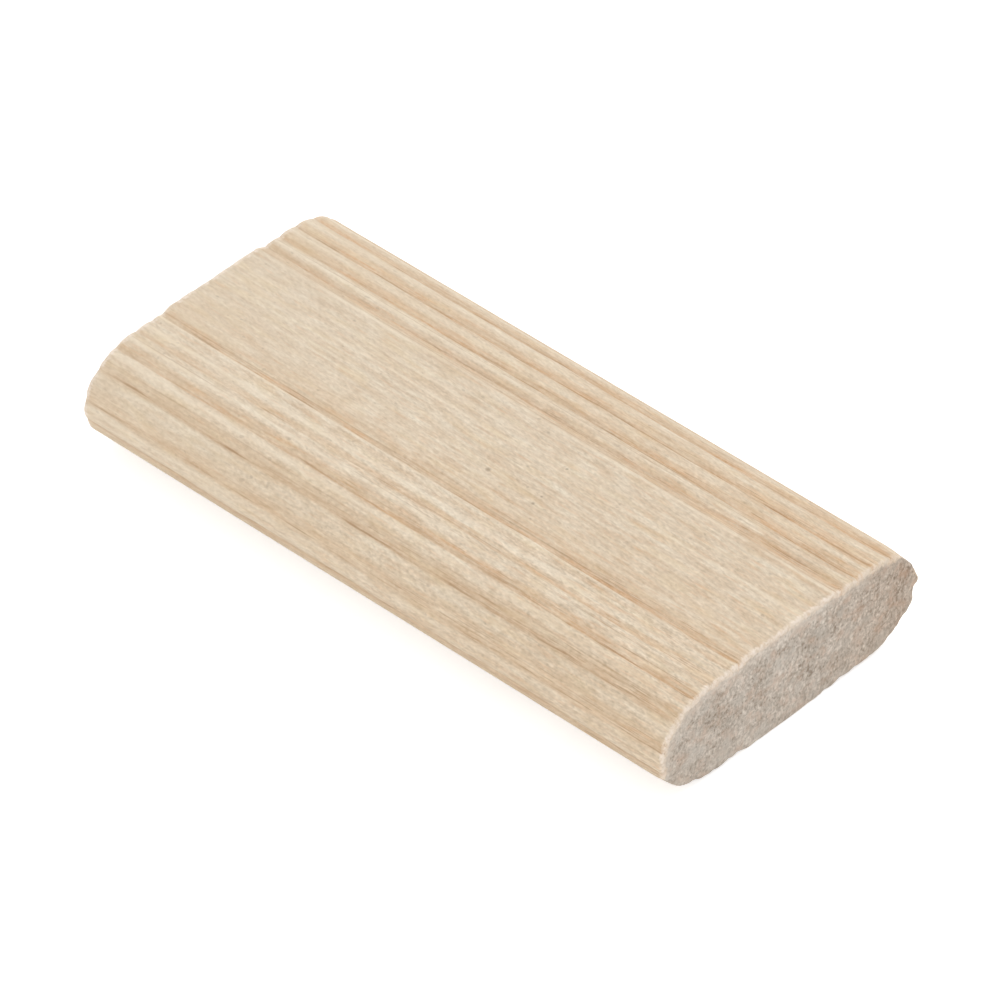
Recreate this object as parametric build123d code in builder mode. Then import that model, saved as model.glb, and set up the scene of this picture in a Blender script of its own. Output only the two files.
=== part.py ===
from build123d import *

import os

os.makedirs("parts", exist_ok=True)

# A loose tenon: a short flat bar of wood that is glued into two facing mortises.
# Its grain and its length run along X, its width along Y and its thickness along Z.
# The origin is the middle of the bar, so the plane X = 0 is the line of the joint.
# The long edges are rounded, to suit the round ends of a routed mortise. Beads run
# along them, and the narrow channels between the beads hold glue and let air out.

# ---- driving dimensions, in millimetres ----
length = 50.0
width = 24.0
thickness = 7.8

# each broad face: a plain band along the middle, which stands proud of the beads
band_width = 8.0
band_rise = 0.16
shoulder_run = 0.65

# each long edge: how far in from its nose the broad face starts to round over
edge_run = 4.7

# the beads of one quarter, from the band to the bead that makes the nose
bead_count = 5
bead_growth = 1.13  # each bead is this many times as wide as the one before it
nose_bead = 1.6
channel_depth = 0.18

# the sawn ends have their sharp rims taken off
end_ease = 0.35

# ---- places worked out from them ----
band_height = thickness / 2
band_edge = band_width / 2
first_channel = band_edge + shoulder_run
crest_height = band_height - band_rise
nose = width / 2
round_start = nose - edge_run

# The line that the tops of the beads touch, in one quarter of the section: level
# beside the band, then a quarter of an ellipse down to the nose.
with BuildLine() as crest_line:
    Line((first_channel, crest_height), (round_start, crest_height))
    EllipticalCenterArc((round_start, 0), edge_run, crest_height, start_angle=90, arc_size=-90)
crest = crest_line.wire()


def on_crest(walk: float, inset: float = 0.0) -> Vector:
    """The point this far along the crest line from its band end, this far inside it."""
    inward = crest.tangent_at(walk, PositionMode.LENGTH).rotate(Axis.Z, -90)
    return crest.position_at(walk, PositionMode.LENGTH) + inward * inset


# The beads share out the crest line as far as the nose bead, each wider than the last.
growths = [bead_growth**bead for bead in range(bead_count)]
beaded_walk = crest.length - nose_bead / 2
bead_widths = [beaded_walk * growth / sum(growths) for growth in growths]
channel_walks = [sum(bead_widths[:bead]) for bead in range(bead_count + 1)]
channels = [on_crest(walk, channel_depth) for walk in channel_walks]
bead_tops = [on_crest(walk + bead / 2) for walk, bead in zip(channel_walks, bead_widths)]
last_channel = channels[-1]

# ---- the tenon: one section, run from end to end ----
with BuildPart() as tenon:
    with BuildSketch(Plane.YZ.offset(-length / 2)) as section:
        with BuildLine() as outline:
            # one quarter: the shoulder of the band, then bead after bead
            Line((band_edge, band_height), channels[0])
            for start, top, end in zip(channels, bead_tops, channels[1:]):
                ThreePointArc(start, top, end)
            mirror(about=Plane.XZ)
            # both faces share the bead that makes the nose
            ThreePointArc(last_channel, (nose, 0), (last_channel.X, -last_channel.Y))
            mirror(about=Plane.YZ)
            # the plain bands
            Line((-band_edge, band_height), (band_edge, band_height))
            Line((-band_edge, -band_height), (band_edge, -band_height))
        make_face()
    extrude(amount=length)
    chamfer(tenon.faces().filter_by(Axis.X).edges(), length=end_ease)
tenon.part.label = "tenon"
export_step(tenon.part, "parts/tenon.step")
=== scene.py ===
"""Dresses the loose tenon: bare wood, beaded along its edges, lying on a white table."""

import logging
import math
from dataclasses import dataclass, field
from enum import Enum

import bmesh
import bpy
from mathutils import Matrix, Vector, noise


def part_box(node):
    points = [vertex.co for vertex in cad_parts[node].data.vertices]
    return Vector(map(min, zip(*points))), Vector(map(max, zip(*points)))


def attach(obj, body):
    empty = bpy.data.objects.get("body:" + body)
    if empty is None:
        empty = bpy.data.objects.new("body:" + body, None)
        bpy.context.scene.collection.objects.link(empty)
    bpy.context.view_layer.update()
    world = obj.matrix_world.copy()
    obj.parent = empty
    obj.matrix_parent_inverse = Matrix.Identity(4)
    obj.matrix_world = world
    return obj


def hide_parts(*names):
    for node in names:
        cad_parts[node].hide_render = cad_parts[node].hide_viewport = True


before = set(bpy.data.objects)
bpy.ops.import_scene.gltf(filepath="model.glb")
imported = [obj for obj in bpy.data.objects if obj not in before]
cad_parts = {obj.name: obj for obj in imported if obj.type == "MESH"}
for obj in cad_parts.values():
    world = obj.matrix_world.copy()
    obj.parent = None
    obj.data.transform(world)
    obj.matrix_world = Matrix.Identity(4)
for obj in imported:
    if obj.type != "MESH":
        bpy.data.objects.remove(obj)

MM = 0.001
WELD = 1e-6  # points closer than this are one point
HAIR = 1e-7  # how exactly a cut or a flat end is met
LAST_WAY = 0.9999  # the way across a bead, just before the next one starts

log = logging.getLogger("loose_tenon")

Colour = tuple[float, float, float, float]
Size = tuple[float, float, float]
Shares = tuple[float, ...]
Socket = bpy.types.NodeSocket
Feed = Socket | float | Colour | Size
Vert = bmesh.types.BMVert

WHITE: Colour = (1.0, 1.0, 1.0, 1.0)


def srgb(red: int, green: int, blue: int) -> Colour:
    """Turn an 8-bit display colour into the linear colour that a shader takes."""
    shares = [part / 255 for part in (red, green, blue)]
    linear = [s / 12.92 if s <= 0.04045 else ((s + 0.055) / 1.055) ** 2.4 for s in shares]
    return (linear[0], linear[1], linear[2], 1.0)


def held(value: float, low: float = 0.0, high: float = 1.0) -> float:
    """Return a value, held between two limits."""
    return min(high, max(low, value))


def bell(value: float, middle: float, spread: float) -> float:
    """Return 1 at the middle, falling smoothly to 0 some two spreads away."""
    return math.exp(-(((value - middle) / spread) ** 2))


def stand(name: str, data: bpy.types.ID) -> bpy.types.Object:
    """Put a named object that shows the given data in the scene, and return it."""
    placed = bpy.data.objects.new(name, data)
    bpy.context.scene.collection.objects.link(placed)
    return placed


def run_of(edge: bmesh.types.BMEdge) -> float:
    """Return how far an edge runs along the bar."""
    return abs(edge.verts[0].co.x - edge.verts[1].co.x)


def cast(name: str, shape: bmesh.types.BMesh) -> bpy.types.Object:
    """Turn a finished shape into a named object in the scene, and return it."""
    mesh = bpy.data.meshes.new(name)
    shape.to_mesh(mesh)
    shape.free()
    return stand(name, mesh)


class Mark(Enum):
    """Per-vertex values that the wood's finish reads."""

    WAY = "way"
    # stain beside the channels, partly painted shade; below 0 a painted ridge highlight
    STAIN = "stain"
    SAWN = "sawn"


class Axis(Enum):
    """The tenon's directions: along the grain, across the width, through the thickness."""

    X = "X"
    Y = "Y"
    Z = "Z"


WAY, STAIN, SAWN = Mark
X, Y, Z = Axis


class Maths(Enum):
    """Operations on values, by Blender's names for them."""

    ADD = "ADD"
    SUBTRACT = "SUBTRACT"
    MULTIPLY = "MULTIPLY"
    DIVIDE = "DIVIDE"
    POWER = "POWER"
    ABSOLUTE = "ABSOLUTE"
    PINGPONG = "PINGPONG"
    MAXIMUM = "MAXIMUM"


class Lay(Enum):
    """Ways to lay one colour over another, by Blender's names for them."""

    MIX = "MIX"
    MULTIPLY = "MULTIPLY"


# ---- section


@dataclass(frozen=True)
class Arc:
    """A stretch of circle in the plane across the grain."""

    start: Vector
    top: Vector
    end: Vector

    def centre(self) -> Vector:
        """Return the circle's centre, which lies as far from all three points."""
        ay, az = self.start.y, self.start.z
        by, bz = self.top.y, self.top.z
        cy, cz = self.end.y, self.end.z
        twice = 2 * (ay * (bz - cz) + by * (cz - az) + cy * (az - bz))
        a2, b2, c2 = ay * ay + az * az, by * by + bz * bz, cy * cy + cz * cz
        y = (a2 * (bz - cz) + b2 * (cz - az) + c2 * (az - bz)) / twice
        z = (a2 * (cy - by) + b2 * (ay - cy) + c2 * (by - ay)) / twice
        return Vector((0, y, z))

    def angle_to(self, place: Vector) -> float:
        """Return the signed angle about +X from the start to a place, in radians."""
        one = self.start - self.centre()
        other = place - self.centre()
        return math.atan2(one.y * other.z - one.z * other.y, one.y * other.y + one.z * other.z)

    def turn(self) -> float:
        """Return the signed angle from start to end about +X, in radians."""
        return self.angle_to(self.end)

    def way_to(self, place: Vector) -> float:
        """Return how far along the arc a place lies, from 0 to just under 1."""
        return held(self.angle_to(place) / self.turn(), high=LAST_WAY)


@dataclass(frozen=True)
class Section:
    """The tenon's cross-section: plain bands, and beads round the long edges."""

    half_width: float
    half_thickness: float
    band_width: float = 8.0 * MM
    band_rise: float = 0.16 * MM
    shoulder_run: float = 0.65 * MM
    edge_run: float = 4.7 * MM
    bead_count: int = 5
    bead_growth: float = 1.13
    nose_bead: float = 1.6 * MM
    channel_depth: float = 0.18 * MM
    ellipse_steps: int = 600

    @property
    def crest_height(self) -> float:
        """Height of the beads' tops beside the band."""
        return self.half_thickness - self.band_rise

    @property
    def first_channel(self) -> float:
        """Place of the first channel across the width."""
        return self.band_width / 2 + self.shoulder_run

    @property
    def round_start(self) -> float:
        """Place across the width where the broad face starts to round over."""
        return self.half_width - self.edge_run

    def crest_line(self) -> list[Vector]:
        """Return points on the line that the beads' tops touch: level, then an ellipse."""
        points = [Vector((0, self.first_channel, self.crest_height))]
        for step in range(self.ellipse_steps + 1):
            angle = math.pi / 2 * step / self.ellipse_steps
            across = self.round_start + self.edge_run * math.sin(angle)
            points.append(Vector((0, across, self.crest_height * math.cos(angle))))
        return points

    def on_crest(self, walk: float, inset: float = 0.0) -> Vector:
        """Find a point by its walk along the crest line.

        Args:
            walk: Way along the line from its band end.
            inset: How far inside the line the point lies.

        Returns:
            The point, in the plane across the grain.
        """
        points = self.crest_line()
        for here, there in zip(points, points[1:]):
            run = (there - here).length
            if walk <= run:
                break
            walk -= run
        along = (there - here).normalized()
        inward = Vector((0, along.z, -along.y))
        return here + along * walk + inward * inset

    def arcs(self) -> list[Arc]:
        """Lay out the beads of one quarter.

        Returns:
            One arc for each bead, then the half bead that ends at the nose.
        """
        points = self.crest_line()
        whole = sum((b - a).length for a, b in zip(points, points[1:]))
        growths = [self.bead_growth**bead for bead in range(self.bead_count)]
        beaded = whole - self.nose_bead / 2
        widths = [beaded * growth / sum(growths) for growth in growths]
        made = []
        walk = 0.0
        for width in widths:
            start = self.on_crest(walk, self.channel_depth)
            top = self.on_crest(walk + width / 2)
            end = self.on_crest(walk + width, self.channel_depth)
            made.append(Arc(start, top, end))
            walk += width
        last = made[-1].end
        made.append(Arc(last, Vector((0, self.half_width, 0)), Vector((0, last.y, -last.z))))
        return made


# ---- wear, painted shade and painted highlights


@dataclass(frozen=True)
class Swell:
    """A slow unevenness: its waves' length on each axis and its start, in millimetres."""

    waves: Size
    start: Size

    def at(self, place: Vector) -> float:
        """Return the swell at a place in millimetres, from about -1 to 1."""
        parts = zip(place, self.waves, self.start)
        return noise.noise(Vector([part / wave + start for part, wave, start in parts]))


@dataclass(frozen=True)
class EdgeWearAndPaintedLight:
    """How one long edge departs from its drawing, listed from the band outward.

    Slides are in millimetres toward +Y. Ridges say how far across its bead each ridge
    lies. The stain with its painted shade, the painted ridge highlights and the fills are
    shares of a full one.
    """

    inward: bool  # stain and painted shade gather on the side of each bead that is nearer to the band
    slides: Shares
    stains_and_shade: Shares
    ridges: Shares
    ridge_highlights: Shares
    fills: Shares
    fill_seed: float
    shoulder_start: float
    shoulder_fade: float


@dataclass(frozen=True)
class StainAndShadeSpread:
    """How far the stain with its painted shade, and the painted ridge highlights, spread over the
    beads, in shares of a bead's width.
    """

    start: float = 0.3
    fade: float = 2.2
    spill: float = 0.09
    highlight_spread: float = 0.15
    nose_reach: float = 0.25
    nose_fade: float = 1.8
    nose_highlight: float = 0.5
    nose_ridge: float = 0.3
    nose_ridge_spread: float = 0.14

    def on_shoulder(self, edge: EdgeWearAndPaintedLight, across: float) -> float:
        """Return the stain part of the way across the band's shoulder."""
        reach = (across - edge.shoulder_start) / (1.0 - edge.shoulder_start)
        return edge.stains_and_shade[0] * max(0.0, reach) ** edge.shoulder_fade

    def on_bead(self, edge: EdgeWearAndPaintedLight, bead: int, across: float) -> float:
        """Return the stain with its painted shade on a bead, or below 0 the painted highlight on
        its ridge.
        """
        lee, windward = edge.stains_and_shade[bead + 1], edge.stains_and_shade[bead]
        if edge.inward:
            lee, windward, across = windward, lee, 1.0 - across
        # painted shade: the stain darkens toward the side of each bead turned away from the key
        # light
        gathered_stain_and_shade = lee * max(0.0, (across - self.start) / (1.0 - self.start)) ** self.fade
        spilled = windward * max(0.0, 1.0 - across / self.spill)
        # painted highlight: a pale band along the bead's ridge, where the key light catches it
        painted_highlight = edge.ridge_highlights[bead] * bell(across, edge.ridges[bead], self.highlight_spread)
        return max(gathered_stain_and_shade, spilled) - painted_highlight

    def on_nose(self, edge: EdgeWearAndPaintedLight, across: float, below: bool) -> float:
        """Return the stain with its painted shade on the nose's bead, where only the upper half
        gathers any, less the painted highlight on its ridge.
        """
        full = 0.0 if below else edge.stains_and_shade[-1]
        gathered_stain_and_shade = full * max(0.0, 1.0 - across / self.nose_reach) ** self.nose_fade
        return gathered_stain_and_shade - self.nose_highlight * bell(across, self.nose_ridge, self.nose_ridge_spread)


@dataclass(frozen=True)
class Knock:
    """A dent at the +X end, or a sliver that stands there: place and size in millimetres."""

    y: float
    z: float
    radius: float
    depth: float


@dataclass(frozen=True)
class EndWear:
    """How sawing and handling left the rims of the ends."""

    chips: Swell = Swell((2.0, 0.8, 0.8), (0.0, 0.0, 11.0))
    rags: Swell = Swell((1.0, 0.4, 0.4), (0.0, 0.0, 5.0))
    chip_depth: float = 0.08 * MM
    chip_base: float = 0.25
    chip_share: float = 0.7
    rag_share: float = 0.45
    rim_spread: float = 0.45
    dents: tuple[Knock, ...] = (
        Knock(11.2, 1.9, 1.2, 0.24),
        Knock(11.7, -0.8, 0.5, 0.22),
        Knock(10.2, -2.7, 0.9, 0.14),
        Knock(-8.6, -3.3, 0.8, 0.14),
        Knock(-11.0, -1.9, 0.7, 0.12),
        Knock(3.4, -3.8, 0.8, 0.1),
    )
    dent_base: float = 0.75
    dent_rag: float = 0.5
    torn_mark: float = 0.8
    sliver: Knock = Knock(12.0, 0.05, 0.55, 0.0)
    sliver_share: float = 0.75
    sliver_squash: float = 1.6
    sliver_reach: float = 3.0

    def chipped(self, place: Vector, sawn: float, over: float) -> float:
        """Return how deeply the rim is chipped, given the way and the whole way over it."""
        rim = bell(sawn, over * 0.5, over * self.rim_spread) if sawn > 0 else 0.0
        uneven = self.chip_share * self.chips.at(place) + self.rag_share * self.rags.at(place)
        return self.chip_depth * rim * max(0.0, self.chip_base + uneven)

    def dented(self, place: Vector, end: float) -> tuple[float, float]:
        """Return how deeply the +X end is dented at a place, and how torn the wood is."""
        ragged = self.dent_base + self.dent_rag * self.rags.at(place)
        depth = torn = 0.0
        for dent in self.dents:
            off = Vector((end - place.x, dent.y - place.y, dent.z - place.z)).length
            share = bell(off, 0.0, dent.radius)
            depth += dent.depth * MM * share * ragged
            torn = max(torn, share)
        return depth, torn


# ---- tenon


@dataclass
class TenonBody:
    """The tenon itself: one bar of wood, with its fibre relief and its sawn ends."""

    node: str = "tenon"
    end_ease: float = 0.18 * MM
    ease_steps: int = 4
    across_step: float = 0.14 * MM
    least_line_steps: int = 3
    least_bead_steps: int = 4
    along_cuts: int = 149
    cap_rings: Shares = (0.1 * MM, 0.12 * MM)
    cap_step: float = 0.32 * MM
    large_face: float = 1.5
    facing: float = 0.99
    mark_slack: float = 1e-4
    shoulder_way: float = -0.5
    nose_hold: float = 2.5
    slow_relief: float = 0.02 * MM
    slow_swell: Swell = Swell((14.0, 1.1, 1.1), (0.0, 7.0, 0.0))
    filled_end: float = 0.5 * MM
    filled_shares: tuple[float, float] = (0.45, 0.7)
    most_filled: float = 0.8
    fill_wave: float = 5.0
    fill_patch: float = 0.5
    channel_gap: float = 3.0
    far_edge: EdgeWearAndPaintedLight = EdgeWearAndPaintedLight(
        inward=True,
        slides=(0.13, 0.16, 0.14, 0.24, 0.15, 0.05),
        stains_and_shade=(0.7, 0.9, 0.92, 0.78, 0.15, 0.15),
        ridges=(0.42, 0.4, 0.4, 0.36, 0.3),
        ridge_highlights=(0.8, 0.5, 0.6, 0.8, 0.8),
        fills=(0.0, 0.0, 0.0, 0.0, 0.0, 0.0),
        fill_seed=2.0,
        shoulder_start=0.45,
        shoulder_fade=1.2,
    )
    near_edge: EdgeWearAndPaintedLight = EdgeWearAndPaintedLight(
        inward=False,
        slides=(-0.25, 0.34, 0.3, 0.13, 0.13, 0.08),
        stains_and_shade=(0.95, 0.15, 0.6, 1.3, 1.2, 1.1),
        ridges=(0.3, 0.5, 0.42, 0.27, 0.2),
        ridge_highlights=(0.8, 0.8, 0.7, 0.7, 0.25),
        fills=(0.0, 0.7, 0.4, 0.0, 0.1, 0.5),
        fill_seed=9.0,
        shoulder_start=0.1,
        shoulder_fade=2.2,
    )
    stain_and_shade_spread: StainAndShadeSpread = StainAndShadeSpread()
    ends: EndWear = EndWear()
    section: Section = field(init=False)
    half_length: float = field(init=False)
    shape: bmesh.types.BMesh = field(init=False)

    def __post_init__(self) -> None:
        """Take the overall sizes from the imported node."""
        low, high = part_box(self.node)
        self.half_length = (high.x - low.x) / 2
        self.section = Section((high.y - low.y) / 2, (high.z - low.z) / 2)

    def build(self) -> bpy.types.Object:
        """Model the bar and put it in the scene.

        Returns:
            The finished object, at the origin, with its marks on its vertices.
        """
        self.shape = bmesh.new()
        self.lay_outline()
        self.slide_beads()
        self.stain_and_shade_channels()
        self.run_length()
        self.ease_ends()
        self.divide()
        bmesh.ops.recalc_face_normals(self.shape, faces=self.shape.faces[:])
        self.shape.normal_update()
        self.weather()
        self.raise_splinter()
        for face in self.shape.faces:
            face.smooth = True
        return cast("tenon_body", self.shape)

    def layer(self, mark: Mark) -> bmesh.types.BMLayerItem:
        """Return the layer that holds one of the marks on the shape's vertices."""
        return self.shape.verts.layers.float[mark.value]

    def edge_at(self, across: float) -> EdgeWearAndPaintedLight:
        """Return the long edge's wear, painted shade and painted highlights on one side: far on
        the +Y side, or near.
        """
        return self.far_edge if across > 0 else self.near_edge

    def caps(self) -> list[bmesh.types.BMFace]:
        """Return the faces of more than four corners, which are the flat ends."""
        return [face for face in self.shape.faces if len(face.verts) > 4]

    def lay_outline(self) -> None:
        """Draw the closed section at one end, bead after bead.

        Each vertex is marked with its way round: the whole number counts the channels
        that lie between it and the band, and the rest is its way across its bead.
        """
        shape = self.shape
        shape.verts.layers.float.new(WAY.value)
        section = self.section
        arcs = section.arcs()
        middle = shape.verts.new(Vector((0, 0, section.half_thickness)))
        band_end = Vector((0, section.band_width / 2, section.half_thickness))
        tip = self.draw_line(middle, band_end, 2 * self.shoulder_way, self.shoulder_way)
        tip = self.draw_line(tip, arcs[0].start, self.shoulder_way, 0.0)
        for bead, arc in enumerate(arcs[:-1]):
            tip = self.draw_bead(tip, arc, 1.0, bead)
        self.draw_bead(tip, arcs[-1], 0.5, len(arcs) - 1)
        for axis in (Z, Y):
            quarter = shape.verts[:] + shape.edges[:]
            bmesh.ops.mirror(
                shape, geom=quarter, matrix=Matrix(), merge_dist=WELD, axis=axis.value
            )
        bmesh.ops.remove_doubles(shape, verts=shape.verts[:], dist=WELD)
        bmesh.ops.translate(shape, verts=shape.verts[:], vec=(-self.half_length, 0, 0))

    def draw_line(self, tip: Vert, end: Vector, from_way: float, to_way: float) -> Vert:
        """Carry the outline on in a straight line, and return its new last vertex."""
        way = self.layer(WAY)
        start = tip.co.copy()
        steps = max(self.least_line_steps, round((end - start).length / self.across_step))
        tip[way] = from_way
        for step in range(1, steps + 1):
            grown = bmesh.ops.extrude_vert_indiv(self.shape, verts=[tip])
            tip = grown["verts"][0]
            tip.co = start.lerp(end, step / steps)
            tip[way] = from_way + (to_way - from_way) * step / steps
        return tip

    def draw_bead(self, tip: Vert, arc: Arc, share: float, bead: int) -> Vert:
        """Carry the outline on round a bead.

        Args:
            tip: The outline's last vertex.
            arc: The bead.
            share: How much of the bead is drawn: 1, or 0.5 as far as the nose.
            bead: The bead's number, counted from the band.

        Returns:
            The vertex at the bead's end.
        """
        shape, way = self.shape, self.layer(WAY)
        drawn = set(shape.verts)
        sweep = arc.turn() * share
        radius = (arc.start - arc.centre()).length
        steps = max(self.least_bead_steps, round(abs(sweep) * radius / self.across_step))
        middle = {"cent": arc.centre(), "axis": (1, 0, 0)}
        spun = bmesh.ops.spin(
            shape, geom=[tip], angle=sweep, steps=steps, use_merge=False, **middle
        )
        for vert in set(shape.verts) - drawn:
            vert[way] = bead + arc.way_to(vert.co)
        return next(part for part in spun["geom_last"] if isinstance(part, Vert))

    def slide_beads(self) -> None:
        """Shift each channel a little toward +Y, as the real cutter left them."""
        way = self.layer(WAY)
        section = self.section
        for vert in self.shape.verts:
            slides = self.edge_at(vert.co.y).slides
            inner = max(0, min(len(slides) - 2, math.floor(vert[way])))
            share = held(vert[way] - inner)
            slide = slides[inner] + (slides[inner + 1] - slides[inner]) * share
            slide *= held(1.0 - vert[way] / self.shoulder_way) * MM
            side = math.copysign(1.0, vert.co.y)
            level = math.copysign(1.0, vert.co.z)
            lean = math.asin(held((abs(vert.co.y) - section.round_start) / section.edge_run))
            slide *= min(1.0, self.nose_hold * math.cos(lean))
            across = math.cos(lean) * section.edge_run
            run = Vector((0, across, -math.sin(lean) * section.crest_height))
            run.normalize()
            vert.co += Vector((0, run.y * slide, side * level * run.z * slide))

    def stain_and_shade_channels(self) -> None:
        """Mark how deep a stain, partly painted shade, each vertex gets from the channel that it
        lies near.

        The stain gathers on one side of each bead, the side turned away from the key light,
        where it is partly painted shade, and ends sharply at the next bead. Below 0 the mark
        says how strong the painted highlight on the bead's ridge is.
        """
        stain = self.shape.verts.layers.float.new(STAIN.value)
        way = self.layer(WAY)
        for vert in self.shape.verts:
            edge = self.edge_at(vert.co.y)
            bead = math.floor(vert[way])
            across = vert[way] - bead
            if bead < 0:
                vert[stain] = self.stain_and_shade_spread.on_shoulder(edge, across)
            elif bead < self.section.bead_count:
                vert[stain] = self.stain_and_shade_spread.on_bead(edge, bead, across)
            else:
                vert[stain] = self.stain_and_shade_spread.on_nose(edge, across, vert.co.z < 0)

    def run_length(self) -> None:
        """Extrude the section to the bar's full length and close both ends."""
        shape = self.shape
        near = shape.edges[:]
        grown = bmesh.ops.extrude_edge_only(shape, edges=near)["geom"]
        moved = [part for part in grown if isinstance(part, Vert)]
        bmesh.ops.translate(shape, verts=moved, vec=(2 * self.half_length, 0, 0))
        far = [part for part in grown if isinstance(part, bmesh.types.BMEdge)]
        far = [edge for edge in far if all(vert.co.x > 0 for vert in edge.verts)]
        for rim in (near, far):
            bmesh.ops.contextual_create(shape, geom=rim)

    def ease_ends(self) -> None:
        """Round the rims of the sawn ends over, and mark the way over each rim."""
        shape = self.shape
        sawn = shape.verts.layers.float.new(SAWN.value)
        bmesh.ops.recalc_face_normals(shape, faces=shape.faces[:])
        rims = [edge for edge in shape.edges if run_of(edge) < WELD]
        rounding = {"offset": self.end_ease, "segments": self.ease_steps, "profile": 0.5}
        kind = {"offset_type": "OFFSET", "affect": "EDGES", "material": -1}
        bmesh.ops.bevel(shape, geom=rims, clamp_overlap=False, **rounding, **kind)
        start = self.half_length - self.end_ease
        quarter = self.end_ease * math.pi / 2
        for vert in shape.verts:
            share = held((abs(vert.co.x) - start) / self.end_ease)
            vert[sawn] = quarter * math.asin(share) / (math.pi / 2) / MM
        walked = quarter
        for ring in self.cap_rings:
            bmesh.ops.inset_region(
                shape, faces=self.caps(), thickness=ring, use_even_offset=False
            )
            walked += ring
            for face in self.caps():
                for vert in face.verts:
                    vert[sawn] = walked / MM

    def divide(self) -> None:
        """Cut the long faces and the sawn ends finely enough to carry relief.

        The mark of the way over the rim is carried on, as the way in from the rim: below
        0 on the long faces and growing toward the middle of the sawn ends.
        """
        shape, sawn = self.shape, self.layer(SAWN)
        long_edges = [edge for edge in shape.edges if run_of(edge) > self.half_length]
        bmesh.ops.subdivide_edges(
            shape, edges=long_edges, cuts=self.along_cuts, use_grid_fill=True
        )
        flat = self.caps()
        borders = {face.normal.x > 0: [vert.co.copy() for vert in face.verts] for face in flat}
        edge_mark = flat[0].verts[0][sawn]
        for axis, half in ((1, self.section.half_width), (2, self.section.half_thickness)):
            count = int(half / self.cap_step)
            for cut in range(-count, count + 1):
                self.cut_caps(axis, cut * self.cap_step)
        inside = edge_mark - self.mark_slack
        for vert in shape.verts:
            if abs(vert.co.x) > self.half_length - HAIR and vert[sawn] > inside:
                border = borders[vert.co.x > 0]
                vert[sawn] = edge_mark + min((vert.co - corner).length for corner in border) / MM
            elif abs(vert.co.x) < self.half_length - self.end_ease:
                vert[sawn] = (abs(vert.co.x) + self.end_ease - self.half_length) / MM

    def cut_caps(self, axis: int, height: float) -> None:
        """Cut the sawn ends' large faces with a plane at a height on one axis."""
        large = self.large_face * self.cap_step**2
        caps = [face for face in self.shape.faces if face.calc_area() > large]
        caps = [face for face in caps if abs(face.normal.x) > self.facing]
        edges = dict.fromkeys(edge for face in caps for edge in face.edges)
        verts = dict.fromkeys(vert for face in caps for vert in face.verts)
        place, normal = Vector(), Vector()
        place[axis], normal[axis] = height, 1.0
        geometry = [*caps, *edges, *verts]
        bmesh.ops.bisect_plane(
            self.shape, geom=geometry, dist=HAIR, plane_co=place, plane_no=normal
        )

    def weather(self) -> None:
        """Press the wood's relief into the surface, and fill the channels' ends a little."""
        way, sawn = self.layer(WAY), self.layer(SAWN)
        ends = self.ends
        over = self.end_ease * math.pi / 2 / MM
        for vert in self.shape.verts:
            place = vert.co / MM
            turned = held(vert[sawn] / over)
            depth = self.slow_relief * (0.5 + 0.5 * self.slow_swell.at(place)) * (1.0 - turned)
            depth += ends.chipped(place, vert[sawn], over)
            depth -= self.channel_fill(vert.co, vert[way]) * (1.0 - turned)
            if vert.co.x > 0.0:
                dented, torn = ends.dented(place, self.half_length / MM)
                depth += dented
                vert[sawn] += ends.torn_mark * torn
            vert.co -= vert.normal * depth
            vert.co.x = held(vert.co.x, -self.half_length, self.half_length)

    def channel_fill(self, place: Vector, way: float) -> float:
        """Find how far the surface is raised because a channel is worn shallow there.

        Args:
            place: The point's place.
            way: Its way round.

        Returns:
            The rise along the surface's normal.
        """
        if way < self.shoulder_way:
            return 0.0
        edge = self.edge_at(place.y)
        channel = min(len(edge.fills) - 1, max(0, round(way)))
        seed = Vector((place.x / MM / self.fill_wave, self.channel_gap * channel, edge.fill_seed))
        patchy = self.fill_patch * noise.noise(seed)
        worn = held(edge.fills[channel] + patchy, high=self.most_filled)
        from_end = max(0.0, self.half_length - self.end_ease - abs(place.x))
        end_share = self.filled_shares[1] if place.x > 0 else self.filled_shares[0]
        worn = max(worn, end_share * math.exp(-from_end / self.filled_end))
        bed = abs(2 * (way - math.floor(way)) - 1) ** 2
        return bed * worn * self.section.channel_depth

    def raise_splinter(self) -> None:
        """Leave the rim sharp where a sliver stands at one nose."""
        sliver = self.ends.sliver
        for vert in self.shape.verts:
            place = vert.co / MM
            level = self.ends.sliver_squash * (sliver.z - place.z)
            off = Vector((self.half_length / MM - place.x, sliver.y - place.y, level)).length
            if off < self.ends.sliver_reach * sliver.radius:
                corner = Vector((self.half_length, sliver.y * MM, vert.co.z))
                share = self.ends.sliver_share * bell(off, 0.0, sliver.radius)
                vert.co = vert.co.lerp(corner, share)


# ---- finish


@dataclass(frozen=True)
class Ramp:
    """A range of one value, and the range that it becomes. Past its ends it is held."""

    low: float
    high: float
    to_low: float = 0.0
    to_high: float = 1.0


@dataclass(frozen=True)
class Cloud:
    """A cloud of soft grains, from 0 to 1, with one grain's size in millimetres.

    Detail counts the finer layers and roughness is their strength. The shift moves the
    cloud in millimetres, the slant leans it in degrees, and the swirl disturbs it.
    """

    size: Size
    detail: float = 2.0
    roughness: float = 0.5
    shift: float = 0.0
    slant: float = 0.0
    swirl: float = 0.0
    strength: float = 1.0
    ramp: Ramp = Ramp(0, 1)


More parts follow.
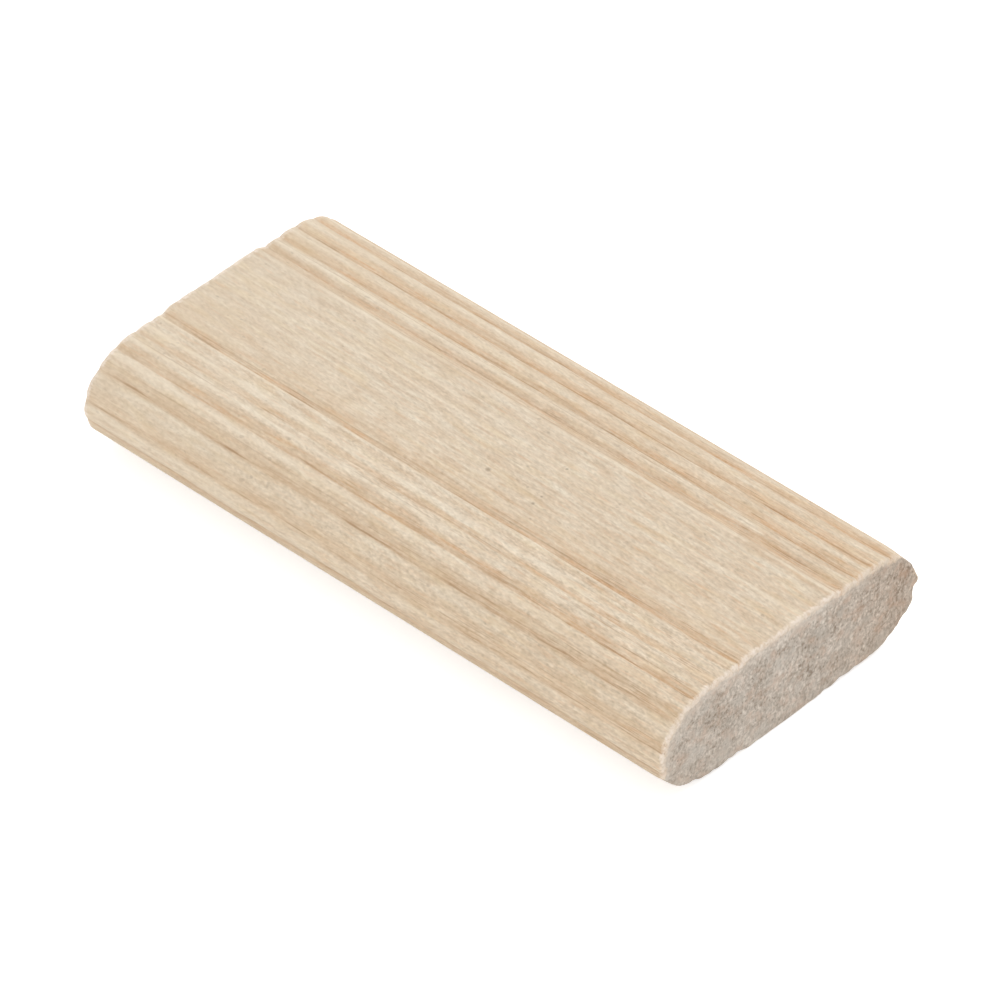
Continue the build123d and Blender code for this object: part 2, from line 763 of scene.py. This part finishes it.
@dataclass
class Desk:
    """A node tree, with a short call for each kind of node the finishes need."""

    owner: bpy.types.Material | bpy.types.World
    shift_shares: Size = (1.0, 1.7, 0.6)

    def node(self, kind: str, **settings: str) -> bpy.types.Node:
        """Add a node of the given kind with its settings, and return it."""
        added = self.owner.node_tree.nodes.new(kind)
        for name, setting in settings.items():
            setattr(added, name, setting)
        return added

    def feed(self, node: bpy.types.Node, values: dict[str | int, Feed]) -> bpy.types.Node:
        """Give each named input of a node a link or a plain value, and return the node."""
        for name, value in values.items():
            if isinstance(value, Socket):
                self.owner.node_tree.links.new(value, node.inputs[name])
            else:
                node.inputs[name].default_value = value
        return node

    def place(self) -> Socket:
        """Return the object's own coordinates."""
        return self.node("ShaderNodeTexCoord").outputs["Object"]

    def place_on(self, axis: Axis) -> Socket:
        """Return the place along one axis, in millimetres from the tenon's middle."""
        parts = self.feed(self.node("ShaderNodeSeparateXYZ"), {0: self.place()})
        return self.times(parts.outputs[axis.value], 1.0 / MM)

    def mark(self, mark: Mark) -> Socket:
        """Return one of the values marked on the mesh."""
        return self.node("ShaderNodeAttribute", attribute_name=mark.value).outputs["Fac"]

    def grains(self, cloud: Cloud) -> Socket:
        """Return a cloud's value, about 0.5 on average."""
        lean = math.radians(cloud.slant)
        mapping = self.node("ShaderNodeMapping", vector_type="TEXTURE")
        moved = {
            "Vector": self.place(),
            "Location": [cloud.shift * share * MM for share in self.shift_shares],
            "Rotation": (0.0, lean, lean),
            "Scale": [part * MM for part in cloud.size],
        }
        grains = {
            "Vector": self.feed(mapping, moved).outputs["Vector"],
            "Scale": 1.0,
            "Detail": cloud.detail,
            "Roughness": cloud.roughness,
            "Distortion": cloud.swirl,
        }
        return self.feed(self.node("ShaderNodeTexNoise"), grains).outputs["Fac"]

    def centred(self, *clouds: Cloud) -> Socket:
        """Return clouds added up, each about 0 on average and times its strength."""
        levels = [self.minus(self.grains(cloud), 0.5) for cloud in clouds]
        return self.plus(*(self.times(o, c.strength) for o, c in zip(levels, clouds)))

    def patches(self, cloud: Cloud) -> Socket:
        """Return a cloud's value spread by its own ramp."""
        return self.stretch(self.grains(cloud), cloud.ramp)

    def stretch(self, value: Socket, ramp: Ramp) -> Socket:
        """Return a value spread from one range over another, and held inside it."""
        read = {"Value": value, "From Min": ramp.low, "From Max": ramp.high}
        made = {"To Min": ramp.to_low, "To Max": ramp.to_high}
        return self.feed(self.node("ShaderNodeMapRange"), read | made).outputs["Result"]

    def along(self, axis: Axis, ramp: Ramp) -> Socket:
        """Return a value that changes along one axis, between two places in millimetres."""
        return self.stretch(self.place_on(axis), ramp)

    def sum(self, operation: Maths, one: Socket | float, other: Socket | float) -> Socket:
        """Return two values combined."""
        maths = self.node("ShaderNodeMath", operation=operation.value)
        return self.feed(maths, {0: one, 1: other}).outputs["Value"]

    def plus(self, one: Socket, *others: Socket | float) -> Socket:
        """Add values up, one after another, and return the total."""
        for other in others:
            one = self.sum(Maths.ADD, one, other)
        return one

    def minus(self, one: Socket | float, other: Socket | float) -> Socket:
        """Return the difference of two values."""
        return self.sum(Maths.SUBTRACT, one, other)

    def times(self, one: Socket, *others: Socket | float) -> Socket:
        """Multiply values, one after another, and return the product."""
        for other in others:
            one = self.sum(Maths.MULTIPLY, one, other)
        return one

    def seen(self) -> Socket:
        """Return 1 where the camera, a reflection or clear glass sees the surface, or 0."""
        path = self.node("ShaderNodeLightPath").outputs
        direct = self.sum(Maths.MAXIMUM, path["Is Camera Ray"], path["Is Glossy Ray"])
        return self.sum(Maths.MAXIMUM, direct, path["Is Transmission Ray"])

    def blend(
        self, share: Socket | float, under: Socket, over: Socket | Colour, lay: Lay = Lay.MIX
    ) -> Socket:
        """Return one colour with a share of another laid over it."""
        mixer = self.node("ShaderNodeMix", data_type="RGBA", blend_type=lay.value)
        return self.feed(mixer, {0: share, 6: under, 7: over}).outputs[2]


@dataclass(frozen=True)
class Fibres:
    """The plain fibres: tan and cream streaks, and short crossing fibres over them."""

    tan: Colour = srgb(193, 160, 124)
    cream: Colour = srgb(245, 239, 223)
    shade: Colour = srgb(254, 251, 246)
    streak: Cloud = Cloud((2.4, 0.28, 0.28), shift=7, slant=-1, strength=0.9)
    sweep: Cloud = Cloud((8, 0.6, 0.6), shift=14, strength=0.8)
    blotch: Cloud = Cloud((2.2, 0.7, 0.7), 1, 0.4, 11, strength=0.55)
    slow_along: Ramp = Ramp(-25, 0, 0.7, 1)
    tan_to_cream: Ramp = Ramp(-0.88, 0.88)
    felt: Cloud = Cloud((0.32, 0.15, 0.15), 1, slant=-8, strength=0.95)
    nap: Cloud = Cloud((0.6, 0.2, 0.2), shift=3, slant=-9, strength=1.15)
    thread: Cloud = Cloud((4, 0.13, 0.13), 1, shift=9, strength=1.05)
    thread_by_stain: Ramp = Ramp(-0.1, 0.5, 0.3, 0.75)
    lively_along: Ramp = Ramp(5, 20)
    lively: float = 0.8
    off_band: Ramp = Ramp(-0.3, 0.1)
    wool_off_band: Ramp = Ramp(-0.3, 0.1, 1, 1.36)
    wool_across: Ramp = Ramp(2, 5, 1, 0.84)
    fine_along: Ramp = Ramp(-25, 0, 0.22, 0.37)
    shade_by_fine: Ramp = Ramp(0.25, -0.5)

    def colour(self, desk: Desk) -> Socket:
        """Return the plain fibres' colour."""
        slow = desk.centred(self.streak, self.sweep, self.blotch)
        slow = desk.times(slow, desk.along(X, self.slow_along))
        tone = desk.blend(desk.stretch(slow, self.tan_to_cream), self.tan, self.cream)
        wool = desk.stretch(desk.mark(WAY), self.wool_off_band)
        wool = desk.times(wool, desk.along(Y, self.wool_across))
        wool = desk.times(desk.centred(self.felt, self.nap), wool)
        lively = desk.times(desk.along(X, self.lively_along), self.lively)
        lively = desk.times(lively, desk.stretch(desk.mark(WAY), self.off_band))
        threads = desk.plus(desk.stretch(desk.mark(STAIN), self.thread_by_stain), lively)
        fine = desk.plus(wool, desk.times(desk.centred(self.thread), threads))
        bright = desk.plus(desk.times(fine, desk.along(X, self.fine_along)), 1.0)
        tone = desk.blend(1.0, tone, bright, Lay.MULTIPLY)
        return desk.blend(desk.stretch(fine, self.shade_by_fine), tone, self.shade, Lay.MULTIPLY)


@dataclass(frozen=True)
class Mottle:
    """Golden and cool patches, warm dashes and fine dark pores over the fibres."""

    patches: tuple[tuple[Colour, Cloud], ...] = (
        (
            srgb(229, 206, 164),
            Cloud((2.6, 0.6, 0.6), 1, 0.4, 25, ramp=Ramp(0.5, 0.8, 0, 0.3)),
        ),
        (
            srgb(216, 206, 192),
            Cloud((3.6, 0.9, 0.9), 1, 0.4, 23, ramp=Ramp(0.5, 0.8, 0, 0.12)),
        ),
        (
            srgb(150, 132, 112),
            Cloud((0.45, 0.3, 0.3), 0, 0.5, 71, ramp=Ramp(0.76, 0.84, 0, 0.3)),
        ),
    )
    warm: Colour = srgb(221, 172, 124)
    dash: Cloud = Cloud((1.7, 0.25, 0.25), 1, shift=21)
    dash_along: Ramp = Ramp(-25, 25, -0.05, 0.03)
    dash_ramp: Ramp = Ramp(0.58, 0.8, 0, 0.28)
    dark: Colour = srgb(150, 126, 101)
    pore: Cloud = Cloud((1.3, 0.07, 0.07), 1, shift=31, ramp=Ramp(0.66, 0.76, 0, 0.3))
    pore_by_stain: Ramp = Ramp(0, 0.5, 0.6, 1)

    def over(self, desk: Desk, tone: Socket) -> Socket:
        """Lay the patches, dashes and pores over the fibres' colour."""
        for colour, cloud in self.patches:
            tone = desk.blend(desk.patches(cloud), tone, colour)
        dash = desk.plus(desk.grains(self.dash), desk.along(X, self.dash_along))
        tone = desk.blend(desk.stretch(dash, self.dash_ramp), tone, self.warm)
        near = desk.stretch(desk.mark(STAIN), self.pore_by_stain)
        return desk.blend(desk.times(desk.patches(self.pore), near), tone, self.dark)


@dataclass(frozen=True)
class ChannelStainAndShade:
    """The stain beside the channels with its painted shade, the painted ridge highlights and the
    thin dark lines.
    """

    tan: Colour = srgb(216, 171, 127)
    brown: Colour = srgb(197, 166, 133)
    # painted shade: a neutral darker stain colour toward the near nose, standing in for shadow
    nose_shade: Colour = srgb(201, 171, 139)
    glow: Colour = srgb(229, 197, 156)
    bed: Colour = srgb(160, 124, 88)
    # painted highlight: the pale colour laid along the bead ridges
    painted_highlight: Colour = srgb(246, 232, 210)
    cloud: Cloud = Cloud((5.5, 0.32, 0.32), 3, 0.6, 43, ramp=Ramp(0.37, 0.63, 0.15, 0.92))
    far_side: Ramp = Ramp(-1, 1)
    far_share: float = 0.2
    faint_near: Ramp = Ramp(12, 22, 1, 0.95)
    faint_far: Ramp = Ramp(-24, -8, 0.72, 1)
    lined: Cloud = Cloud((3.2, 0.13, 0.13), 2, 0.6, 45, ramp=Ramp(0.36, 0.62, 0.4, 1.25))
    wool: Cloud = Cloud((0.36, 0.18, 0.18), 2, 0.5, 53, -10, ramp=Ramp(0.3, 0.7, 0.65, 1.35))
    strength: float = 0.9
    by_mark: Ramp = Ramp(0, 1.3, 0, 1.3)
    glow_by_mark: Ramp = Ramp(0, 1)
    glow_power: float = 0.5
    glow_share: float = 0.2
    glow_near_nose: Ramp = Ramp(-9, -10, 0, 0.1)
    glow_far_edge: Ramp = Ramp(5, 6.5, 0, 0.1)
    browned: Cloud = Cloud((3, 0.4, 0.4), shift=41, ramp=Ramp(0.42, 0.6))
    brown_along: Ramp = Ramp(10, 20, 1, 0.35)
    brown_by_depth: Ramp = Ramp(0.5, 1, 0, 0.6)
    near_nose: Ramp = Ramp(-8.5, -10)
    crack: Cloud = Cloud((2.6, 0.07, 0.07), 1, shift=49, ramp=Ramp(0.6, 0.68))
    crack_along: Ramp = Ramp(-12, 16, 0.1, 0.5)
    crack_by_mark: Ramp = Ramp(0.05, 0.4)
    highlight_by_mark: Ramp = Ramp(0, -1)
    highlight_share: float = 0.4
    highlight_along: Ramp = Ramp(-18, 22, 1.5, 0.6)
    wander: Cloud = Cloud((7, 1, 1), shift=47, strength=0.25)
    spacing: float = 0.5
    line_width: Cloud = Cloud((3.5, 0.3, 0.3), shift=51, ramp=Ramp(0.48, 0.68, 0.012, 0.05))
    line_by_width: Ramp = Ramp(0.014, 0.04, 0, 0.45)
    line_edge: Ramp = Ramp(0, 0.5)
    line_off_band: Ramp = Ramp(-0.4, -0.2)
    line_by_mark: Ramp = Ramp(0, 0.7, 0.1, 1)

    def over(self, desk: Desk, tone: Socket) -> Socket:
        """Lay the stain with its painted shade, the painted ridge highlights and the dark lines
        over a colour.
        """
        # this mark carries the stain with its painted shade, and below 0 the painted ridge
        # highlights
        stain = desk.mark(STAIN)
        side = desk.times(desk.along(Y, self.far_side), self.far_share)
        depth = desk.times(
            desk.plus(desk.patches(self.cloud), side),
            desk.along(X, self.faint_near),
            desk.along(X, self.faint_far),
            desk.patches(self.lined),
            self.strength,
            desk.patches(self.wool),
        )
        depth = desk.times(desk.stretch(stain, self.by_mark), depth)
        broad = desk.sum(Maths.POWER, desk.stretch(stain, self.glow_by_mark), self.glow_power)
        edges = desk.along(Y, self.glow_near_nose)
        edges = desk.plus(edges, desk.along(Y, self.glow_far_edge))
        tone = desk.blend(desk.plus(desk.times(broad, self.glow_share), edges), tone, self.glow)
        browned = desk.times(desk.patches(self.browned), desk.along(X, self.brown_along))
        browned = desk.plus(browned, desk.stretch(depth, self.brown_by_depth))
        stained_and_shaded = desk.blend(browned, self.tan, self.brown)
        # painted shade: toward the near nose the stain turns neutral and darker
        stained_and_shaded = desk.blend(desk.along(Y, self.near_nose), stained_and_shaded, self.nose_shade)
        tone = desk.blend(depth, tone, stained_and_shaded)
        crack = desk.times(desk.patches(self.crack), desk.along(X, self.crack_along))
        crack = desk.times(crack, desk.stretch(stain, self.crack_by_mark))
        tone = desk.blend(crack, tone, self.bed)
        # painted highlight along the bead ridges
        highlight = desk.times(desk.stretch(stain, self.highlight_by_mark), self.highlight_share)
        highlight = desk.times(highlight, desk.along(X, self.highlight_along))
        tone = desk.blend(highlight, tone, self.painted_highlight)
        return desk.blend(self.line(desk, stain), tone, self.bed)

    def line(self, desk: Desk, stain: Socket) -> Socket:
        """Return how dark the thin line in each channel's bed is."""
        way = desk.plus(desk.mark(WAY), desk.centred(self.wander))
        wide = desk.patches(self.line_width)
        away = desk.sum(Maths.PINGPONG, way, self.spacing)
        line = desk.minus(1.0, desk.sum(Maths.DIVIDE, away, wide))
        return desk.times(
            desk.stretch(line, self.line_edge),
            desk.stretch(wide, self.line_by_width),
            desk.stretch(way, self.line_off_band),
            desk.stretch(stain, self.line_by_mark),
        )


@dataclass(frozen=True)
class Line:
    """A line along the grain: its place and half width in millimetres, and its strength."""

    across: float
    half_width: float
    share: float


@dataclass(frozen=True)
class GrainLines:
    """The long pale streaks and the dark hairlines that run from end to end."""

    pale: Colour = srgb(246, 232, 210)
    dark: Colour = srgb(160, 124, 88)
    pale_lines: tuple[Line, ...] = (
        Line(0.92, 0.25, 0.4), Line(2.0, 0.2, 0.3), Line(3.9, 0.22, 0.5), Line(-1.0, 0.15, 0.2),
    )
    dark_lines: tuple[Line, ...] = (
        Line(-4.6, 0.06, 0.5),
        Line(4.15, 0.06, 0.4),
        Line(5.7, 0.06, 0.4),
        Line(-7.72, 0.06, 0.4),
        Line(-10.0, 0.06, 0.3),
    )
    wander: Cloud = Cloud((9, 3, 3), shift=57, strength=0.15)
    broken: Cloud = Cloud((5, 0.4, 0.4), shift=61, ramp=Ramp(0.35, 0.6, 0.25, 1))

    def over(self, desk: Desk, tone: Socket) -> Socket:
        """Draw the lines over a colour."""
        across = desk.plus(desk.place_on(Y), desk.centred(self.wander))
        broken = desk.patches(self.broken)
        for lines, colour in ((self.pale_lines, self.pale), (self.dark_lines, self.dark)):
            for line in lines:
                away = desk.sum(Maths.ABSOLUTE, desk.minus(across, line.across), 0.0)
                share = desk.stretch(away, Ramp(line.half_width, 0, 0, line.share))
                tone = desk.blend(desk.times(share, broken), tone, colour)
        return tone


@dataclass(frozen=True)
class Fleck:
    """A small dark fleck on the upper face: its place and radius, in millimetres."""

    x: float
    y: float
    radius: float
    z: float = 3.89
    core: float = 0.3
    share: float = 0.6

    def over(self, desk: Desk, tone: Socket, colour: Colour) -> Socket:
        """Lay the fleck over a colour."""
        away = desk.node("ShaderNodeVectorMath", operation="DISTANCE")
        desk.feed(away, {0: desk.place(), 1: (self.x * MM, self.y * MM, self.z * MM)})
        soft = Ramp(self.radius * MM, self.radius * self.core * MM)
        spot = desk.times(desk.stretch(away.outputs["Value"], soft), self.share)
        return desk.blend(spot, tone, colour)


@dataclass(frozen=True)
class LongGrain:
    """The planed and beaded faces, where the fibres lie along the surface."""

    fibres: Fibres = Fibres()
    mottle: Mottle = Mottle()
    # the channel stain with its painted shade, and the painted ridge highlights
    stain: ChannelStainAndShade = ChannelStainAndShade()
    lines: GrainLines = GrainLines()
    aged: Colour = srgb(252, 250, 248)
    aged_along: Ramp = Ramp(-20, 24)
    fleck: Colour = srgb(150, 132, 112)
    flecks: tuple[Fleck, ...] = (
        Fleck(1.2, -2.0, 0.25),
        Fleck(5.5, -2.5, 0.17),
        Fleck(4.8, 1.4, 0.14),
        Fleck(5.45, -1.65, 0.13),
    )
    coarse: Cloud = Cloud((1.6, 0.15, 0.15), 3, 0.6, 3)
    coarse_share: float = 0.6
    fine: Cloud = Cloud((0.45, 0.09, 0.09), 1, 0.5, 17, 6)
    fine_share: float = 0.4

    def colour(self, desk: Desk) -> Socket:
        """Return the faces' colour."""
        tone = self.fibres.colour(desk)
        for layer in (self.mottle, self.stain, self.lines):
            tone = layer.over(desk, tone)
        tone = desk.blend(desk.along(X, self.aged_along), tone, self.aged, Lay.MULTIPLY)
        for fleck in self.flecks:
            tone = fleck.over(desk, tone, self.fleck)
        return tone

    def height(self, desk: Desk) -> Socket:
        """Return the fibres' relief, from 0 to 1."""
        coarse = desk.times(desk.grains(self.coarse), self.coarse_share)
        return desk.plus(coarse, desk.times(desk.grains(self.fine), self.fine_share))


@dataclass(frozen=True)
class PaintedRimLight:
    """Painted light on the ends' pale rims: fully on the upper ones, least below."""

    lean: float = 0.25
    by_height: Ramp = Ramp(-1.5, 3, 0.1, 1)

    def share(self, desk: Desk) -> Socket:
        """Return how much painted light a rim gets at each place."""
        lean = desk.times(desk.place_on(Y), self.lean)
        return desk.stretch(desk.minus(desk.place_on(Z), lean), self.by_height)


@dataclass(frozen=True)
class EndGrain:
    """The sawn ends, where the fibres are cut across and stand up like felt."""

    dark: Colour = srgb(142, 125, 107)
    light: Colour = srgb(235, 224, 211)
    ruddy: Colour = srgb(243, 236, 230)
    # pale rim of the end grain: partly real frayed fibres, partly painted light on the upper rims
    bright_rim: Colour = srgb(236, 222, 206)
    felt: Cloud = Cloud((0.5, 0.27, 0.29), 3, 0.6, 5, swirl=0.3, strength=1.38)
    felt_across: Ramp = Ramp(-9, 9, 0.85, 1.15)
    felt_below: Ramp = Ramp(-0.5, -3, 1, 1.25)
    tuft: Cloud = Cloud((1, 0.8, 0.9), 3, 0.6, 15, swirl=0.6, strength=0.85)
    blotch: Cloud = Cloud((3, 2.2, 2), 1, shift=33, strength=0.5)
    hair: Cloud = Cloud((0.5, 0.17, 0.19), 1, shift=19, strength=0.55)
    dark_to_light: Ramp = Ramp(-0.42, 0.42)
    patches: tuple[tuple[Colour, Cloud], ...] = (
        (
            srgb(205, 176, 154),
            Cloud((3, 1.1, 0.9), 3, 0.6, 13, ramp=Ramp(0.48, 0.7, 0, 0.6)),
        ),
        (
            srgb(198, 191, 180),
            Cloud((3, 1.6, 1.3), 2, 0.5, 27, ramp=Ramp(0.5, 0.7, 0, 0.5)),
        ),
        (
            srgb(118, 98, 82),
            Cloud((0.3, 0.16, 0.18), 1, 0.5, 29, ramp=Ramp(0.62, 0.74, 0, 0.5)),
        ),
    )
    # painted light: the lower part of each sawn end is made paler, standing in for light from the
    # table below
    painted_fill_below: Ramp = Ramp(0, -3.5, 0, 0.18)
    ruddy_across: Ramp = Ramp(2, 10)
    bright_by_mark: Ramp = Ramp(0.15, 1.5, 0.6, 0)
    painted_rim_light: PaintedRimLight = PaintedRimLight()
    torn: Cloud = Cloud(
        (0.5, 0.22, 0.26), 4, 0.68, 5, swirl=0.3, ramp=Ramp(0.2, 0.8, 0, 0.5)
    )

    def colour(self, desk: Desk) -> Socket:
        """Return the sawn ends' colour."""
        felt = desk.times(desk.centred(self.felt), desk.along(Y, self.felt_across))
        felt = desk.times(felt, desk.along(Z, self.felt_below))
        felt = desk.plus(felt, desk.centred(self.tuft))
        fibre = desk.plus(felt, desk.centred(self.hair, self.blotch))
        tone = desk.blend(desk.stretch(fibre, self.dark_to_light), self.dark, self.light)
        for colour, cloud in self.patches:
            tone = desk.blend(desk.patches(cloud), tone, colour)
        # painted light on the lower part of the sawn ends
        tone = desk.blend(desk.along(Z, self.painted_fill_below), tone, self.light)
        tone = desk.blend(desk.along(Y, self.ruddy_across), tone, self.ruddy, Lay.MULTIPLY)
        # pale rim, partly painted light that is strongest on the upper rims
        rim = desk.stretch(desk.mark(SAWN), self.bright_by_mark)
        return desk.blend(desk.times(rim, self.painted_rim_light.share(desk)), tone, self.bright_rim)

    def height(self, desk: Desk) -> Socket:
        """Return the torn fibres' relief, from 0 to 0.5."""
        return desk.patches(self.torn)


@dataclass(frozen=True)
class BareWood:
    """The whole tenon's finish: long grain, end grain and the pale rim between them, partly real
    frayed fibres and partly painted light on the upper rims.
    """

    name: str = "bare_wood"
    long_grain: LongGrain = LongGrain()
    end_grain: EndGrain = EndGrain()
    # pale rim colour: partly real frayed fibres, partly painted light on the upper rims
    rim: Colour = srgb(247, 232, 217)
    frayed: Cloud = Cloud((0.5, 0.3, 0.3), 3, 0.65, 37, strength=0.8)
    # painted shade: low on the ends the pale rim gives way to the darker end grain colour
    painted_shade_below: Ramp = Ramp(-1, -3.6, 0, 0.5)
    sawn_far: Ramp = Ramp(-20, -24, 0, 0.15)
    sawn_by_mark: Ramp = Ramp(0.31, 0.56)
    eased_by_mark: Ramp = Ramp(-0.1, 0.12)
    worn: Cloud = Cloud((0.4, 0.3, 0.3), 3, 0.65, 39, ramp=Ramp(0.35, 0.62, 0.3, 0.95))
    painted_rim_light: PaintedRimLight = PaintedRimLight()
    roughness: float = 0.65
    shine: float = 0.25
    relief: float = 0.03 * MM
    relief_strength: float = 0.8

    def make(self) -> bpy.types.Material:
        """Build the material, which reads the tenon's own coordinates and marks."""
        material = bpy.data.materials.new(self.name)
        material.use_nodes = True
        desk = Desk(material)
        # low on the ends the rims take the end grain colour, as painted shade
        edge = desk.plus(
            desk.mark(SAWN),
            desk.centred(self.frayed),
            desk.along(Z, self.painted_shade_below),
            desk.along(X, self.sawn_far),
        )
        sawn = desk.stretch(edge, self.sawn_by_mark)
        eased = desk.minus(desk.stretch(edge, self.eased_by_mark), sawn)
        tone = desk.blend(sawn, self.long_grain.colour(desk), self.end_grain.colour(desk))
        # pale rim: partly real frayed fibres, partly painted light on the upper rims
        rim = desk.times(eased, desk.patches(self.worn), self.painted_rim_light.share(desk))
        heights = {0: sawn, 2: self.long_grain.height(desk), 3: self.end_grain.height(desk)}
        height = desk.feed(desk.node("ShaderNodeMix", data_type="FLOAT"), heights).outputs[0]
        press = {"Strength": self.relief_strength, "Distance": self.relief, "Height": height}
        bump = desk.feed(desk.node("ShaderNodeBump"), press)
        looks = {
            "Base Color": desk.blend(rim, tone, self.rim),
            "Roughness": self.roughness,
            "Specular IOR Level": self.shine,
            "Normal": bump.outputs["Normal"],
        }
        desk.feed(material.node_tree.nodes["Principled BSDF"], looks)
        return material


# ---- studio


@dataclass(frozen=True)
class Sun:
    """A soft, even light from one side. Its angles are in degrees."""

    name: str
    energy: float
    tilt: float
    turn: float
    spread: float

    def hang(self) -> None:
        """Hang the light in the scene."""
        lamp = bpy.data.lights.new(self.name, "SUN")
        lamp.energy = self.energy
        lamp.angle = math.radians(self.spread)
        hung = stand(self.name, lamp)
        hung.rotation_euler = (math.radians(self.tilt), 0, math.radians(self.turn))


@dataclass(frozen=True)
class Studio:
    """The white table, the soft light and the camera."""

    azimuth: float = 43.01
    elevation: float = 40.41
    distance: float = 583.998 * MM
    aside: float = -0.2486 * MM
    above: float = 0.4395 * MM
    lens: float = 331.96
    sensor: float = 36.0
    near_clip: float = 0.01
    far_clip: float = 20.0
    table_size: float = 3.0
    table_white: Colour = (0.85, 0.85, 0.85, 1.0)
    table_roughness: float = 0.9
    table_glow: float = 0.57
    sky: float = 0.66
    backdrop: float = 1.0
    suns: tuple[Sun, ...] = (
        Sun("key", energy=1.1, tilt=-42.0, turn=12.0, spread=45.0),
        Sun("card", energy=1.15, tilt=80.0, turn=25.0, spread=60.0),
    )

    def camera(self) -> None:
        """Set up the camera, level and looking down the tenon."""
        turn, lift = math.radians(self.azimuth), math.radians(self.elevation)
        level = math.cos(lift)
        back = Vector((math.sin(turn) * level, -math.cos(turn) * level, math.sin(lift)))
        right = Vector((math.cos(turn), math.sin(turn), 0))
        up = back.cross(right)
        eye = bpy.data.cameras.new("camera")
        eye.lens = self.lens
        eye.sensor_width = self.sensor
        eye.clip_start = self.near_clip
        eye.clip_end = self.far_clip
        camera = stand("camera", eye)
        camera.matrix_world = Matrix((right, up, back)).transposed().to_4x4()
        camera.location = back * self.distance - right * self.aside - up * self.above
        bpy.context.scene.camera = camera

    def table(self, height: float) -> None:
        """Lay the white table at the height of the tenon's lowest point."""
        shape = bmesh.new()
        bmesh.ops.create_grid(shape, x_segments=1, y_segments=1, size=self.table_size / 2)
        bmesh.ops.translate(shape, verts=shape.verts[:], vec=(0, 0, height))
        top = cast("table", shape)
        material = bpy.data.materials.new("white_table")
        material.use_nodes = True
        desk = Desk(material)
        looks = {
            "Base Color": self.table_white,
            "Roughness": self.table_roughness,
            "Specular IOR Level": 0.0,
            "Emission Color": WHITE,
            "Emission Strength": desk.times(desk.seen(), self.table_glow),
        }
        desk.feed(material.node_tree.nodes["Principled BSDF"], looks)
        top.data.materials.append(material)

    def light(self) -> None:
        """Hang the soft lights, and fill the room with even light."""
        for sun in self.suns:
            sun.hang()
        world = bpy.data.worlds.new("room")
        world.use_nodes = True
        bpy.context.scene.world = world
        desk = Desk(world)
        nodes = world.node_tree.nodes
        fill = desk.feed(nodes["Background"], {"Color": WHITE, "Strength": self.sky})
        backdrop = desk.node("ShaderNodeBackground")
        desk.feed(backdrop, {"Color": WHITE, "Strength": self.backdrop})
        shades = {0: desk.seen(), 1: fill.outputs[0], 2: backdrop.outputs[0]}
        either = desk.feed(desk.node("ShaderNodeMixShader"), shades)
        desk.feed(nodes["World Output"], {"Surface": either.outputs[0]})


def main() -> None:
    """Build the tenon and its studio, and report each piece."""
    logging.basicConfig(level=logging.INFO, format="%(name)s: %(message)s")
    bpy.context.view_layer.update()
    bpy.context.scene.view_settings.view_transform = "Standard"
    tenon = TenonBody()
    body = tenon.build()
    body.data.materials.append(BareWood().make())
    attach(body, "root")
    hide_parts(tenon.node)
    log.info("%s: %d faces", body.name, len(body.data.polygons))
    studio = Studio()
    studio.camera()
    studio.table(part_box(tenon.node)[0].z)
    studio.light()


if __name__ == "__main__":
    main()
